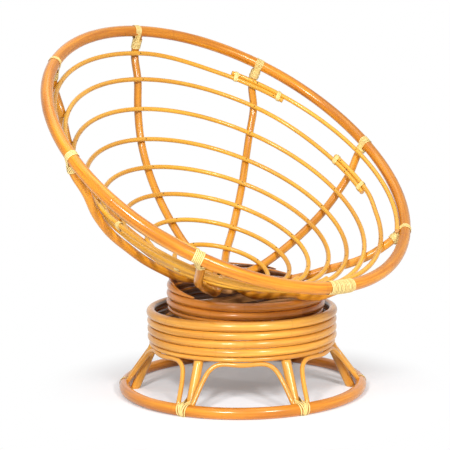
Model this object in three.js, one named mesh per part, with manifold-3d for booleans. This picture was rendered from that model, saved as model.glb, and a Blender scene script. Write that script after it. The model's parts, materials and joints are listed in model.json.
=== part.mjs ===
// A papasan chair in bare rattan. A tilted bowl of ribs and hoops rests on a coiled ring,
// which rocks on a pivot pin and turns on a bearing inside a drum of coiled poles.
// Lengths are in millimetres and angles in degrees. Z is up and the sitter faces -Y.
import * as THREE from 'three';
import Module from 'manifold-3d';
import { mergeVertices } from 'three/addons/utils/BufferGeometryUtils.js';

const wasm = await Module();
wasm.setup();

// Driving dimensions. Poles are given by their radius, rings by the radius of their centre line.
const clearance = 0.3;
const rimRadius = 540;
const poleShares = { rim: 0.03056, rib: 0.02222, hoop: 0.01296 };
const rim = { pole: rimRadius * poleShares.rim, tilt: 38.9, segments: 56, sides: 8 };
const rib = { pole: rimRadius * poleShares.rib, nailGap: 1.3, topNailGap: 2.8, steps: 15, sides: 8 };
const hoop = { pole: rimRadius * poleShares.hoop, lap: 110, lapGap: 0.6, lapLift: 1.2, sides: 6 };
const mostLapShare = 0.05;
const lapRampShare = 0.64;
const hub = { radius: 52, thickness: 12, sides: 16 };
const seatRing = { insideDrum: 44.7, forward: 15, pole: 11.5, thinPole: 6.2, thinStepOut: 2, segments: 32, sides: 6 };
const seatRingHeight = 66.3;
const wedge = { pole: 10.4, tip: 2.2 };
const nod = 1.8;
const drum = { rimShare: 0.4698, topPole: 12.8, pole: 11, lowPole: 6.5, segments: 32, sides: 6, middleCoils: 3 };
const drumBottom = 130.4;
const floorRing = { outsideDrum: 77.3, pole: 15.5, segments: 36, sides: 8 };
const leg = { pole: 13, footInsideRing: 27, topInsideDrum: 8.2, sides: 10 };
const arch = { pole: 6.5, besideLeg: 3.7, cornerDrop: 13, topGap: 1.8, footGap: 2, steps: 14, sides: 6 };
const baseTurn = -42.8;
const legSpread = 27.5;
const baseBar = { width: 36, thickness: 18, offset: 50, bottom: 148 };
const basePlate = { side: 150, thickness: 4 };
const bearing = { outer: 62, inner: 44, height: 6, sides: 24 };
const plateLength = 190;
const bracket = { width: 112, thickness: 4, pivotRise: 30.1, cheekInside: 50, lugHalf: 28, lugRound: 12 };
const rocker = { width: 92, thickness: 4, bottom: 20.7, lugHalf: 24, lugRound: 12 };
const seatBar = { width: 36, thickness: 18, offset: 60 };
const barEndSegments = 3;
const lugSegments = 8;
const pin = { radius: 6, headRadius: 9, headThickness: 3, sides: 16 };
const spring = { radius: 14, wire: 2, curls: 5, place: 70, steps: 8, sides: 5 };
const strand = { radius: 1.7, sides: 4, spacing: 4.4, passes: 4, slack: 1.6, turnSteps: 10 };
const endWrap = { length: 84, centre: -2.7, loops: 15, steps: 8 };

// Radii of the base's rings and of the legs' ends, all from the rim's radius.
const drumRadius = rimRadius * drum.rimShare;
const seatRingRadius = drumRadius - seatRing.insideDrum;
const floorRingRadius = drumRadius + floorRing.outsideDrum;
const legFootRadius = floorRingRadius - leg.footInsideRing;
const legTopRadius = drumRadius - leg.topInsideDrum;

// Heights of the pieces on the base bars, up to the pivot.
const basePlateBottom = baseBar.bottom + baseBar.thickness + clearance;
const bearingBottom = basePlateBottom + basePlate.thickness + clearance;
const bracketBottom = bearingBottom + bearing.height + clearance;
const bracketTop = bracketBottom + bracket.thickness;
const pivotHeight = bracketBottom + bracket.pivotRise;

// Places of the bowl's rings as shares of the rim's radius, from the rim down to the rib ends.
const rimShares = { forward: -0.0504, height: 1.2474 };
const hoopShares = [
  { forward: -0.0655, height: 1.2056, radius: 0.9457, tilt: 35.4 },
  { forward: -0.0963, height: 1.1130, radius: 0.8741, tilt: 34.6 },
  { forward: -0.1389, height: 1.0148, radius: 0.8037, tilt: 32.3 },
  { forward: -0.1704, height: 0.9259, radius: 0.7167, tilt: 29.2 },
  { forward: -0.1833, height: 0.8481, radius: 0.6167, tilt: 26.3 },
  { forward: -0.1870, height: 0.7667, radius: 0.5037, tilt: 24.3 },
  { forward: -0.1741, height: 0.6944, radius: 0.3852, tilt: 22.0 },
  { forward: -0.1537, height: 0.6259, radius: 0.2519, tilt: 20.5 },
];
const ribEndShares = { forward: -0.139, height: 0.559, radius: 0.0704, tilt: 18 };

// Angles of the ribs' tops, and how far a rib swings forward below its top, most of all near the sixth hoop.
const ribAngles = [0, 45, 88.7, 134.6, 179, -135, -90, -45];
const swingShares = [0, 0, 0.34, 0.55, 0.79, 0.96, 1, 0.84, 0.3, 0];
const ribSwings = [0, 5, 6.8, 8.1, 0, 8.1, 6.8, 0];

// Where each hoop's lapped ends begin, and where the first hoop stops at the front.
const lapStarts = [null, 79, -92, 4, -76, 8, -112, 19];
const firstHoopStop = 46.6;
const hoopSegments = [34, 38, 36, 32, 30, 28, 24, 22];

// Legs and arches round the base, and the shape of an arch as shares of its half angle.
const legAngles = [-90 - legSpread, -90 + legSpread, 0, 90 - legSpread, 90 + legSpread, 180];
const archFlatShare = 0.6;
const archCornerShare = 0.79;
const archShoulderShare = 0.9;
const archShoulderDropShare = 0.42;

// Where the tapered coils of the seat ring start and where they reach their full pole.
const wedgeAngles = [
  { tip: 84, full: 116 },
  { tip: 112, full: 162 },
];

const up = new THREE.Vector3(0, 0, 1);
const radians = THREE.MathUtils.degToRad;
const chair = new THREE.Group();
const finishes = {
  rattan: { color: 0xd98a35, roughness: 0.35, metalness: 0 },
  peel: { color: 0xe6c274, roughness: 0.6, metalness: 0 },
  timber: { color: 0xb07a45, roughness: 0.7, metalness: 0 },
  blackSteel: { color: 0x1c1a19, roughness: 0.45, metalness: 0.6 },
  steel: { color: 0x9a9ca0, roughness: 0.35, metalness: 1 },
};

// Adds one named piece to a group, with a material of its own.
function addPiece(group, name, geometry, finish) {
  const piece = new THREE.Mesh(geometry, new THREE.MeshStandardMaterial(finishes[finish]));
  piece.name = name;
  group.add(piece);
  return piece;
}

// The radius that a faceted round needs so that its flats stay outside a given radius.
function aroundFlats(radius, sides) {
  return radius / Math.cos(Math.PI / sides);
}

// The round section of a pole.
function disc(radius, sides) {
  const corners = [];
  for (let i = 0; i < sides; i++) {
    const angle = (2 * Math.PI * i) / sides;
    corners.push(new THREE.Vector2(radius * Math.cos(angle), radius * Math.sin(angle)));
  }
  return new THREE.Shape(corners);
}

// A curve that a function of its share from 0 to 1 places.
class PlacedCurve extends THREE.Curve {
  constructor(place) {
    super();
    this.place = place;
  }

  getPoint(share) {
    return this.place(share);
  }
}

// A pole bent along a curve.
function bentPole(curve, radius, steps, sides) {
  return new THREE.ExtrudeGeometry(disc(radius, sides), { steps, bevelEnabled: false, extrudePath: curve });
}

// A round bar along Z, standing on z = 0.
function roundBar(radius, length, sides) {
  const bar = new THREE.CylinderGeometry(radius, radius, length, sides);
  bar.rotateX(Math.PI / 2);
  bar.translate(0, 0, length / 2);
  return bar;
}

// A tube through given points with a radius at each, closed flat at both ends.
function tubeThrough(points, radiusAt, sides) {
  const positions = [];
  const triangles = [];
  const last = points.length - 1;
  const normal = new THREE.Vector3();
  points.forEach((point, i) => {
    const before = points[Math.max(i - 1, 0)];
    const after = points[Math.min(i + 1, last)];
    const into = point.clone().sub(before).normalize();
    const out = after.clone().sub(point).normalize();
    const along = into.add(out).normalize();
    if (i === 0) {
      const least = Math.abs(along.z) < 0.8 ? up : new THREE.Vector3(1, 0, 0);
      normal.crossVectors(along, least).normalize();
    } else {
      normal.addScaledVector(along, -normal.dot(along)).normalize();
    }
    const across = along.clone().cross(normal);
    for (let j = 0; j < sides; j++) {
      const angle = (2 * Math.PI * j) / sides;
      const corner = point.clone();
      corner.addScaledVector(normal, radiusAt(i) * Math.cos(angle));
      corner.addScaledVector(across, radiusAt(i) * Math.sin(angle));
      positions.push(corner.x, corner.y, corner.z);
    }
  });
  for (let i = 0; i < last; i++) {
    for (let j = 0; j < sides; j++) {
      const next = (j + 1) % sides;
      const a = i * sides + j;
      const b = i * sides + next;
      triangles.push(a, b, a + sides, b, b + sides, a + sides);
    }
  }
  for (let j = 1; j < sides - 1; j++) {
    triangles.push(0, j + 1, j);
    triangles.push(last * sides, last * sides + j, last * sides + j + 1);
  }
  const tube = new THREE.BufferGeometry();
  tube.setAttribute('position', new THREE.Float32BufferAttribute(positions, 3));
  tube.setIndex(triangles);
  tube.computeVertexNormals();
  return tube;
}

// The least gap between the turns of one strand, measured on its points and printed.
function reportGap(name, points, thickness, skip) {
  let least = Infinity;
  const nearest = new THREE.Vector3();
  for (let i = 0; i < points.length; i++) {
    for (let j = i + skip; j < points.length - 1; j++) {
      new THREE.Line3(points[j], points[j + 1]).closestPointToPoint(points[i], true, nearest);
      least = Math.min(least, nearest.distanceTo(points[i]) - thickness);
    }
  }
  console.log(`${name}: least gap between its own turns ${least.toFixed(2)} mm`);
}

// Solids for cutting and joining, and back.
function solidOf(geometry) {
  const bare = geometry.clone();
  bare.deleteAttribute('normal');
  bare.deleteAttribute('uv');
  const merged = mergeVertices(bare);
  const vertProperties = new Float32Array(merged.attributes.position.array);
  const triVerts = new Uint32Array(merged.index.array);
  return new wasm.Manifold(new wasm.Mesh({ numProp: 3, vertProperties, triVerts }));
}

function geometryOf(solid) {
  const mesh = solid.getMesh();
  const geometry = new THREE.BufferGeometry();
  geometry.setAttribute('position', new THREE.BufferAttribute(mesh.vertProperties, 3));
  geometry.setIndex(new THREE.BufferAttribute(mesh.triVerts, 1));
  geometry.computeVertexNormals();
  return geometry;
}

// Places on the bowl. A ring's angle is counted from the front towards +X.
function bowlRing(shares) {
  return {
    forward: shares.forward * rimRadius,
    height: shares.height * rimRadius,
    radius: shares.radius * rimRadius,
    tilt: shares.tilt,
  };
}

function ringPoint(ring, angle) {
  const downhill = ring.radius * Math.cos(radians(angle));
  const forward = ring.forward + downhill * Math.cos(radians(ring.tilt));
  const height = ring.height - downhill * Math.sin(radians(ring.tilt));
  return new THREE.Vector3(ring.radius * Math.sin(radians(angle)), -forward, height);
}

const rimRing = bowlRing({ ...rimShares, radius: 1, tilt: rim.tilt });
const hoopRings = hoopShares.map(bowlRing);
const ribEndRing = bowlRing(ribEndShares);
const stations = [rimRing, ...hoopRings, ribEndRing];

// The direction up the bowl's wall at a station, from the ring below to the ring above.
function wallDirection(index, angle) {
  const above = ringPoint(stations[Math.max(index - 1, 0)], angle);
  const below = ringPoint(stations[Math.min(index + 1, stations.length - 1)], angle);
  return above.sub(below).normalize();
}

function ringTangent(ring, angle) {
  return ringPoint(ring, angle + 1).sub(ringPoint(ring, angle - 1)).normalize();
}

// The direction out of the bowl through its wall.
function outOfWall(index, angle) {
  const outward = ringTangent(stations[index], angle).cross(wallDirection(index, angle)).normalize();
  const middle = ringPoint(rimRing, 0).lerp(ringPoint(rimRing, 180), 1 / 2);
  const inward = middle.sub(ringPoint(stations[index], angle));
  return outward.multiplyScalar(-Math.sign(outward.dot(inward)));
}

// Between the rim and the hub a rib swings towards the front of the bowl.
function swungAngle(index, angle) {
  const most = ribSwings[ribAngles.indexOf(angle)];
  return angle - Math.sign(angle) * most * swingShares[index];
}

// A rib's place outside a hoop, with its pole against the hoop's.
function ribPlace(index, angle) {
  const gap = index === 1 ? rib.topNailGap : rib.nailGap;
  const swung = swungAngle(index, angle);
  return ringPoint(stations[index], swung).addScaledVector(outOfWall(index, swung), hoop.pole + rib.pole + gap);
}

// The first hoop ends before the three front ribs, so they run from the second hoop to the rim.
function ribCurve(angle) {
  const front = Math.abs(angle) < firstHoopStop;
  const points = [ringPoint(ribEndRing, angle)];
  for (let index = hoopRings.length; index >= (front ? 2 : 1); index--) {
    points.push(ribPlace(index, angle));
  }
  points.push(ringPoint(rimRing, angle));
  return new THREE.CatmullRomCurve3(points);
}

const ribNames = ['front', 'front_left', 'left', 'back_left', 'back', 'back_right', 'right', 'front_right'];

// The seat's lower parts nod forward a little about the pivot.
const seat = new THREE.Group();
seat.position.z = pivotHeight;
seat.rotation.x = radians(nod);
seat.updateMatrixWorld(true);
chair.add(seat);

// Heights above the pivot of the seat ring's coils and of the tapered coils on it.
const coilPitch = 2 * seatRing.pole + clearance;
const secondCoilHeight = seatRingHeight - coilPitch;
const thinCoilHeight = secondCoilHeight - seatRing.pole - clearance - seatRing.thinPole;

function wedgePole(index, angle) {
  const { tip, full } = wedgeAngles[index];
  const share = THREE.MathUtils.clamp((Math.abs(angle) - tip) / (full - tip), 0, 1);
  return wedge.tip + (wedge.pole - wedge.tip) * share;
}

function wedgeHeight(index, angle) {
  const under = index === 0 ? seatRingHeight + seatRing.pole : wedgeHeight(0, angle) + wedgePole(0, angle);
  return under + clearance + wedgePole(index, angle);
}

function seatCirclePoint(height, angle) {
  const x = seatRingRadius * Math.sin(radians(angle));
  const y = -seatRing.forward - seatRingRadius * Math.cos(radians(angle));
  return new THREE.Vector3(x, y, height);
}

// The bowl is lowered until its first rib rests on the seat ring or on a tapered coil.
function bowlLift() {
  const tops = [];
  const angleStep = 2;
  const ribPoints = 160;
  for (let angle = -180; angle < 180; angle += angleStep) {
    tops.push({ point: seatCirclePoint(seatRingHeight, angle), pole: seatRing.pole });
    for (const index of [0, 1]) {
      if (Math.abs(angle) >= wedgeAngles[index].tip) {
        tops.push({ point: seatCirclePoint(wedgeHeight(index, angle), angle), pole: wedgePole(index, angle) });
      }
    }
  }
  tops.forEach((top) => top.point.applyMatrix4(seat.matrixWorld));
  let lift = -Infinity;
  for (const angle of ribAngles) {
    for (const point of ribCurve(angle).getSpacedPoints(ribPoints)) {
      for (const top of tops) {
        const reach = rib.pole + top.pole + clearance;
        const apart = Math.hypot(point.x - top.point.x, point.y - top.point.y);
        if (apart < reach) {
          lift = Math.max(lift, top.point.z + Math.sqrt(reach ** 2 - apart ** 2) - point.z);
        }
      }
    }
  }
  return lift;
}

const bowl = new THREE.Group();
bowl.position.z = bowlLift();
chair.add(bowl);
console.log(`bowl lifted by ${bowl.position.z.toFixed(2)} mm to rest on the seat ring`);

// A closed ring pole lying level, and the same ring set at its tilt.
function ringPole(radius, pole, segments, sides) {
  return new THREE.TorusGeometry(radius, pole, sides, segments);
}

function buildRim() {
  const piece = addPiece(bowl, 'rim', ringPole(rimRadius, rim.pole, rim.segments, rim.sides), 'rattan');
  piece.position.set(0, -rimRing.forward, rimRing.height);
  piece.rotation.x = radians(rim.tilt);
}

// The rim's centre line as its faceted pole has it, at any angle.
function rimLinePoint(angle) {
  const step = 360 / rim.segments;
  const whole = Math.floor(angle / step);
  const from = ringPoint(rimRing, whole * step);
  return from.lerp(ringPoint(rimRing, (whole + 1) * step), angle / step - whole);
}

// How far a facet of the rim lies inside its true circle, and the cutter of the ribs' hollow tops.
const rimSag = rimRadius * (1 - Math.cos(Math.PI / rim.segments));
const hollowSides = 16;
const cutterLength = 6 * rim.pole;

// Each rib runs outside the hoops and its top is hollowed to sit against the rim.
function buildRibs() {
  ribAngles.forEach((angle, i) => {
    const pole = solidOf(bentPole(ribCurve(angle), rib.pole, rib.steps, rib.sides));
    const wrapped = angle === 0 ? 2 * strand.radius + 2 * clearance + strand.slack : 0;
    const hollow = aroundFlats(rim.pole + clearance + rimSag + wrapped, hollowSides);
    const cutter = roundBar(hollow, cutterLength, hollowSides);
    cutter.translate(0, 0, -cutterLength / 2);
    cutter.applyQuaternion(new THREE.Quaternion().setFromUnitVectors(up, ringTangent(rimRing, angle)));
    cutter.translate(...ringPoint(rimRing, angle).toArray());
    addPiece(bowl, `rib_${ribNames[i]}`, geometryOf(pole.subtract(solidOf(cutter))), 'rattan');
  });
}

// A hoop is one pole whose ends lap side by side, the later end lying below the first.
function hoopCurve(index) {
  const ring = hoopRings[index];
  const start = lapStarts[index];
  const lap = Math.min(hoop.lap, 2 * Math.PI * ring.radius * mostLapShare);
  const lapAngle = THREE.MathUtils.radToDeg(lap / ring.radius);
  const rampAngle = lapAngle * lapRampShare;
  return new PlacedCurve((share) => {
    const turned = share * (360 + lapAngle);
    const drop = THREE.MathUtils.smoothstep(turned, 360 - rampAngle, 360);
    const angle = start + turned;
    const point = ringPoint(ring, angle);
    point.addScaledVector(wallDirection(index + 1, angle), -drop * (2 * hoop.pole + hoop.lapGap));
    return point.addScaledVector(outOfWall(index + 1, angle), -drop * hoop.lapLift);
  });
}

function buildHoops() {
  hoopRings.forEach((ring, index) => {
    const open = index === 0;
    const arc = (share) => ringPoint(ring, firstHoopStop + share * 2 * (180 - firstHoopStop));
    const curve = open ? new PlacedCurve(arc) : hoopCurve(index);
    const geometry = bentPole(curve, hoop.pole, hoopSegments[index], hoop.sides);
    addPiece(bowl, `hoop_${index + 1}`, geometry, 'rattan');
  });
}

// A round board under the inner ends of the ribs.
function buildHub() {
  const board = roundBar(hub.radius, hub.thickness, hub.sides);
  const piece = addPiece(bowl, 'rib_hub', board, 'timber');
  const slope = radians(ribEndRing.tilt);
  const below = rib.pole + clearance + hub.thickness;
  piece.rotation.x = slope;
  piece.position.set(0, -ribEndRing.forward + below * Math.sin(slope), ribEndRing.height - below * Math.cos(slope));
}

// How the peel climbs the rib between its passes over the rim, as shares of its spacing.
const firstTurnShare = 1.5;
const firstRiseShare = 0.6;
const riseShare = 0.75;
const crossShares = [0.25, 0.5, 0.75];

// The peel that ties a rib to the rim: passes over the rim, each turned half round the rib.
function lashingPoints(angle) {
  const curve = ribCurve(angle);
  const length = curve.getLength();
  const centre = ringPoint(rimRing, angle);
  const toRim = curve.getTangentAt(1);
  const towardFront = ringTangent(rimRing, angle).multiplyScalar(angle > 0 ? -1 : 1);
  const over = toRim.clone().addScaledVector(towardFront, -toRim.dot(towardFront)).normalize();
  const inward = over.clone().cross(towardFront);
  const inside = ringPoint(rimRing, angle + 180).sub(centre);
  inward.multiplyScalar(Math.sign(inward.dot(inside)));
  const rimLoop = aroundFlats(rim.pole + clearance + strand.radius, strand.turnSteps) + strand.slack;
  const ribLoop = aroundFlats(rib.pole + clearance + strand.radius, strand.turnSteps) + strand.slack;
  const turnStep = 360 / strand.turnSteps;
  const leaning = ribLoop * Math.abs(toRim.dot(towardFront));
  const highest = rim.pole + 2 * strand.radius + leaning;
  const open = Math.abs(angle) < firstHoopStop;
  const lastTurn = hoop.pole + strand.radius + strand.slack + strand.spacing * firstRiseShare;
  const toHoop = ribPlace(1, angle).distanceTo(centre) - lastTurn;
  const room = open ? strand.passes : Math.floor((toHoop - highest) / strand.spacing) + 1;
  const passes = Math.min(strand.passes, room);
  const lowest = highest + (passes - 1) * strand.spacing;

  const overRim = (offset, turn) => {
    const turnsAngle = THREE.MathUtils.radToDeg(offset / rimRadius) * (angle > 0 ? -1 : 1);
    const point = rimLinePoint(angle + turnsAngle);
    point.addScaledVector(over, rimLoop * Math.cos(radians(turn)));
    return point.addScaledVector(inward, rimLoop * Math.sin(radians(turn)));
  };
  const roundRib = (below, turn) => {
    const share = 1 - below / length;
    const along = curve.getTangentAt(share);
    const sideways = towardFront.clone().addScaledVector(along, -towardFront.dot(along)).normalize();
    const inner = inward.clone().addScaledVector(along, -inward.dot(along));
    inner.addScaledVector(sideways, -inner.dot(sideways)).normalize();
    const point = curve.getPointAt(share);
    point.addScaledVector(inner, ribLoop * Math.cos(radians(turn)));
    return point.addScaledVector(sideways, ribLoop * Math.sin(radians(turn)));
  };

  const points = [];
  const offsetOf = (pass) => (pass - (passes - 1) / 2) * strand.spacing;
  const faceTurn = (pass) => THREE.MathUtils.radToDeg(Math.asin(offsetOf(pass) / ribLoop));
  if (!open && room > strand.passes + 1) {
    const firstTurn = 180 - faceTurn(0) - 360;
    for (let k = 0; k < strand.turnSteps; k++) {
      const below = lowest + strand.spacing * (firstTurnShare - k / strand.turnSteps);
      points.push(roundRib(below, firstTurn + turnStep * k));
    }
  }
  for (let pass = 0; pass < passes; pass++) {
    const below = lowest - pass * strand.spacing;
    const rise = pass === 0 ? firstRiseShare : riseShare;
    points.push(roundRib(below + strand.spacing * rise, 180 - faceTurn(pass)));
    for (let turn = -90; turn <= 90; turn += turnStep) {
      points.push(overRim(offsetOf(pass), turn));
    }
    points.push(roundRib(below, faceTurn(pass)));
    if (pass < passes - 1) {
      const from = faceTurn(pass);
      const to = 180 - faceTurn(pass + 1);
      for (const share of crossShares) {
        points.push(roundRib(below - share * strand.spacing * (1 - riseShare), from + (to - from) * share));
      }
    }
  }
  return points;
}

// The long winding over the rim's own joined ends, at the front.
function endWrapPoints() {
  const points = [];
  const count = endWrap.loops * endWrap.steps;
  const spread = THREE.MathUtils.radToDeg(endWrap.length / rimRadius);
  const normal = new THREE.Vector3(0, -Math.sin(radians(rim.tilt)), Math.cos(radians(rim.tilt)));
  const loop = rim.pole + (clearance + strand.radius) / Math.cos(Math.PI / endWrap.steps) + strand.slack / 2;
  for (let i = 0; i <= count; i++) {
    const angle = endWrap.centre + spread * (i / count - 1 / 2);
    const turn = (2 * Math.PI * i) / endWrap.steps;
    const outward = ringPoint(rimRing, angle).sub(ringPoint(rimRing, angle + 180)).normalize();
    const point = rimLinePoint(angle);
    point.addScaledVector(outward, loop * Math.cos(turn));
    points.push(point.addScaledVector(normal, loop * Math.sin(turn)));
  }
  return points;
}

function buildLashings() {
  ribAngles.forEach((angle, i) => {
    const name = `lashing_${ribNames[i]}`;
    const points = angle === 0 ? endWrapPoints() : lashingPoints(angle);
    reportGap(name, points, 2 * strand.radius, 4);
    addPiece(bowl, name, tubeThrough(points, () => strand.radius, strand.sides), 'peel');
  });
}

// The coiled ring that carries the bowl, with two tapered coils that fill up its back.
function buildSeatRing() {
  const coils = [
    { radius: seatRingRadius, pole: seatRing.pole, height: seatRingHeight },
    { radius: seatRingRadius, pole: seatRing.pole, height: secondCoilHeight },
    { radius: seatRingRadius + seatRing.thinStepOut, pole: seatRing.thinPole, height: thinCoilHeight },
  ];
  coils.forEach(({ radius, pole, height }, i) => {
    const piece = addPiece(seat, `seat_coil_${i + 1}`, ringPole(radius, pole, seatRing.segments, seatRing.sides), 'rattan');
    piece.position.set(0, -seatRing.forward, height);
  });
  wedgeAngles.forEach(({ tip }, index) => {
    const steps = Math.round((seatRing.segments * (180 - tip)) / 120);
    const points = [];
    const poles = [];
    for (let i = 0; i <= steps; i++) {
      const angle = tip + ((360 - 2 * tip) * i) / steps;
      const folded = angle > 180 ? angle - 360 : angle;
      points.push(seatCirclePoint(wedgeHeight(index, folded), angle));
      poles.push(wedgePole(index, folded));
    }
    addPiece(seat, `wedge_coil_${index + 1}`, tubeThrough(points, (i) => poles[i], seatRing.sides), 'rattan');
  });
}

// A timber bar across the inside of a ring, its ends rounded to the ring.
function crossBar(endRadius, offset, width, thickness) {
  const near = Math.asin((offset - width / 2) / endRadius);
  const far = Math.asin((offset + width / 2) / endRadius);
  const outline = new THREE.Shape();
  outline.absarc(0, 0, endRadius, near, far, false);
  outline.absarc(0, 0, endRadius, Math.PI - far, Math.PI - near, false);
  return new THREE.ExtrudeGeometry(outline, { depth: thickness, bevelEnabled: false, curveSegments: barEndSegments });
}

function insideOf(radius, pole, segments) {
  return (radius - pole) * Math.cos(Math.PI / segments) - clearance;
}

function buildSeatBars() {
  const reach = insideOf(seatRingRadius, seatRing.pole, seatRing.segments);
  const bottom = rocker.bottom + rocker.thickness + clearance;
  for (const [name, turn] of [['seat_bar_front', Math.PI], ['seat_bar_back', 0]]) {
    const bar = addPiece(seat, name, crossBar(reach, seatBar.offset, seatBar.width, seatBar.thickness), 'timber');
    bar.rotation.z = turn;
    bar.position.set(0, -seatRing.forward, bottom);
  }
}

// A steel lug with a round end about the pivot, standing up from z = 0 with its foot at y = 0.
function lug(half, height, round, thickness) {
  const outline = new THREE.Shape();
  outline.moveTo(-half, 0);
  outline.lineTo(half, 0);
  outline.absarc(0, height, round, 0, Math.PI, false);
  const plate = new THREE.ExtrudeGeometry(outline, { depth: thickness, bevelEnabled: false, curveSegments: lugSegments });
  plate.rotateX(Math.PI / 2);
  plate.rotateZ(Math.PI / 2);
  return plate;
}

function block(width, length, thickness) {
  const box = new THREE.BoxGeometry(width, length, thickness);
  box.translate(0, 0, thickness / 2);
  return box;
}

// A bar along X that cuts the pin's holes.
function pinHole(width, height) {
  const hole = roundBar(aroundFlats(pin.radius + clearance, pin.sides), width, pin.sides);
  hole.rotateY(Math.PI / 2);
  hole.translate(-width / 2, 0, height);
  return solidOf(hole);
}

function buildSwivelBracket() {
  const rise = pivotHeight - bracketBottom;
  let solid = solidOf(block(bracket.width, plateLength, bracket.thickness));
  for (const inside of [bracket.cheekInside, -bracket.cheekInside - bracket.thickness]) {
    const cheek = lug(bracket.lugHalf, rise, bracket.lugRound, bracket.thickness);
    cheek.translate(inside, 0, 0);
    solid = solid.add(solidOf(cheek));
  }
  solid = solid.subtract(pinHole(2 * bracket.width, rise));
  const piece = addPiece(chair, 'swivel_bracket', geometryOf(solid), 'blackSteel');
  piece.position.z = bracketBottom;
}

// The rocker plate's two lugs hang down between the bracket's cheeks.
function buildRockerPlate() {
  const plate = block(rocker.width, plateLength, rocker.thickness);
  plate.translate(0, 0, rocker.bottom);
  let solid = solidOf(plate);
  const drop = rocker.bottom + rocker.thickness;
  for (const side of [rocker.width / 2 - rocker.thickness, -rocker.width / 2]) {
    const ear = lug(rocker.lugHalf, drop, rocker.lugRound, rocker.thickness);
    ear.rotateX(Math.PI);
    ear.translate(side, 0, drop);
    solid = solid.add(solidOf(ear));
  }
  solid = solid.subtract(pinHole(2 * rocker.width, 0));
  addPiece(seat, 'rocker_plate', geometryOf(solid), 'blackSteel');
}

// The pin has a head outside each cheek.
function buildPivotPin() {
  const shank = bracket.cheekInside + bracket.thickness + clearance;
  const end = shank + pin.headThickness;
  const profile = [
    new THREE.Vector2(0, -end),
    new THREE.Vector2(pin.headRadius, -end),
    new THREE.Vector2(pin.headRadius, -shank),
    new THREE.Vector2(pin.radius, -shank),
    new THREE.Vector2(pin.radius, shank),
    new THREE.Vector2(pin.headRadius, shank),
    new THREE.Vector2(pin.headRadius, end),
    new THREE.Vector2(0, end),
  ];
  const piece = addPiece(chair, 'pivot_pin', new THREE.LatheGeometry(profile, pin.sides), 'steel');
  piece.rotation.z = -Math.PI / 2;
  piece.position.z = pivotHeight;
}

// Two coil springs stand on the bracket, in front of the pivot and behind it.
function buildSprings() {
  for (const [name, place] of [['spring_front', -spring.place], ['spring_back', spring.place]]) {
    const underPlate = new THREE.Vector3(0, place, rocker.bottom).applyMatrix4(seat.matrixWorld);
    const edge = (spring.radius + spring.wire) * Math.sin(radians(nod));
    const bottom = bracketTop + clearance + spring.wire;
    const top = underPlate.z - edge - clearance - spring.wire;
    const points = [];
    const count = spring.curls * spring.steps;
    for (let i = 0; i <= count; i++) {
      const turn = (2 * Math.PI * i) / spring.steps;
      const x = spring.radius * Math.cos(turn);
      const y = place + spring.radius * Math.sin(turn);
      points.push(new THREE.Vector3(x, y, bottom + ((top - bottom) * i) / count));
    }
    reportGap(name, points, 2 * spring.wire, 4);
    addPiece(chair, name, tubeThrough(points, () => spring.wire, spring.sides), 'steel');
  }
}

function buildBearing() {
  const { outer, inner, height } = bearing;
  const profile = [
    new THREE.Vector2(inner, 0),
    new THREE.Vector2(outer, 0),
    new THREE.Vector2(outer, height),
    new THREE.Vector2(inner, height),
    new THREE.Vector2(inner, 0),
  ];
  const ring = new THREE.LatheGeometry(profile, bearing.sides);
  ring.rotateX(Math.PI / 2);
  addPiece(chair, 'swivel_bearing', ring, 'steel').position.z = bearingBottom;
}

// The base is turned under the seat, as it happened to stand.
const base = new THREE.Group();
base.rotation.z = radians(baseTurn);
chair.add(base);

// The drum: a thick coil on top, three like coils, and a thin one at the bottom.
const lowCoilHeight = drumBottom + drum.lowPole;
const middleCoilHeight = lowCoilHeight + drum.lowPole + clearance + drum.pole;
const middlePitch = 2 * drum.pole + clearance;
const topCoilHeight = middleCoilHeight + (drum.middleCoils - 1) * middlePitch + drum.pole + clearance + drum.topPole;

function buildDrum() {
  const coils = [{ pole: drum.topPole, height: topCoilHeight }];
  for (let i = drum.middleCoils - 1; i >= 0; i--) {
    coils.push({ pole: drum.pole, height: middleCoilHeight + i * middlePitch });
  }
  coils.push({ pole: drum.lowPole, height: lowCoilHeight });
  coils.forEach(({ pole, height }, i) => {
    const ring = ringPole(drumRadius, pole, drum.segments, drum.sides);
    addPiece(base, `drum_coil_${i + 1}`, ring, 'rattan').position.z = height;
  });
}

function buildBaseBars() {
  const reach = insideOf(drumRadius, drum.pole, drum.segments);
  for (const [i, turn] of [0, Math.PI].entries()) {
    const bar = crossBar(reach, baseBar.offset, baseBar.width, baseBar.thickness);
    const piece = addPiece(base, `base_bar_${i + 1}`, bar, 'timber');
    piece.rotation.z = turn;
    piece.position.z = baseBar.bottom;
  }
}

function buildBasePlate() {
  const plate = block(basePlate.side, basePlate.side, basePlate.thickness);
  addPiece(base, 'base_plate', plate, 'blackSteel').position.z = basePlateBottom;
}

function buildFloorRing() {
  const ring = ringPole(floorRingRadius, floorRing.pole, floorRing.segments, floorRing.sides);
  addPiece(base, 'floor_ring', ring, 'rattan').position.z = floorRing.pole;
}

// A leg leans outwards and is cut level at the foot and at the top.
function buildLegs() {
  const legTop = drumBottom - clearance;
  const lean = Math.atan2(legFootRadius - legTopRadius, legTop);
  legAngles.forEach((angle, i) => {
    const outward = new THREE.Vector3(Math.cos(radians(angle)), Math.sin(radians(angle)), 0);
    const sideways = up.clone().cross(outward);
    const foot = outward.clone().multiplyScalar(legFootRadius);
    const rise = outward.clone().multiplyScalar(legTopRadius).addScaledVector(up, legTop).sub(foot);
    const across = outward.clone().multiplyScalar(1 / Math.cos(lean));
    const place = new THREE.Matrix4().makeBasis(across, sideways, rise).setPosition(foot);
    const post = new THREE.CylinderGeometry(leg.pole, leg.pole, 1, leg.sides);
    post.rotateX(Math.PI / 2);
    post.translate(0, 0, 1 / 2);
    post.applyMatrix4(place);
    addPiece(base, `leg_${i + 1}`, post, 'rattan');
  });
}

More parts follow.
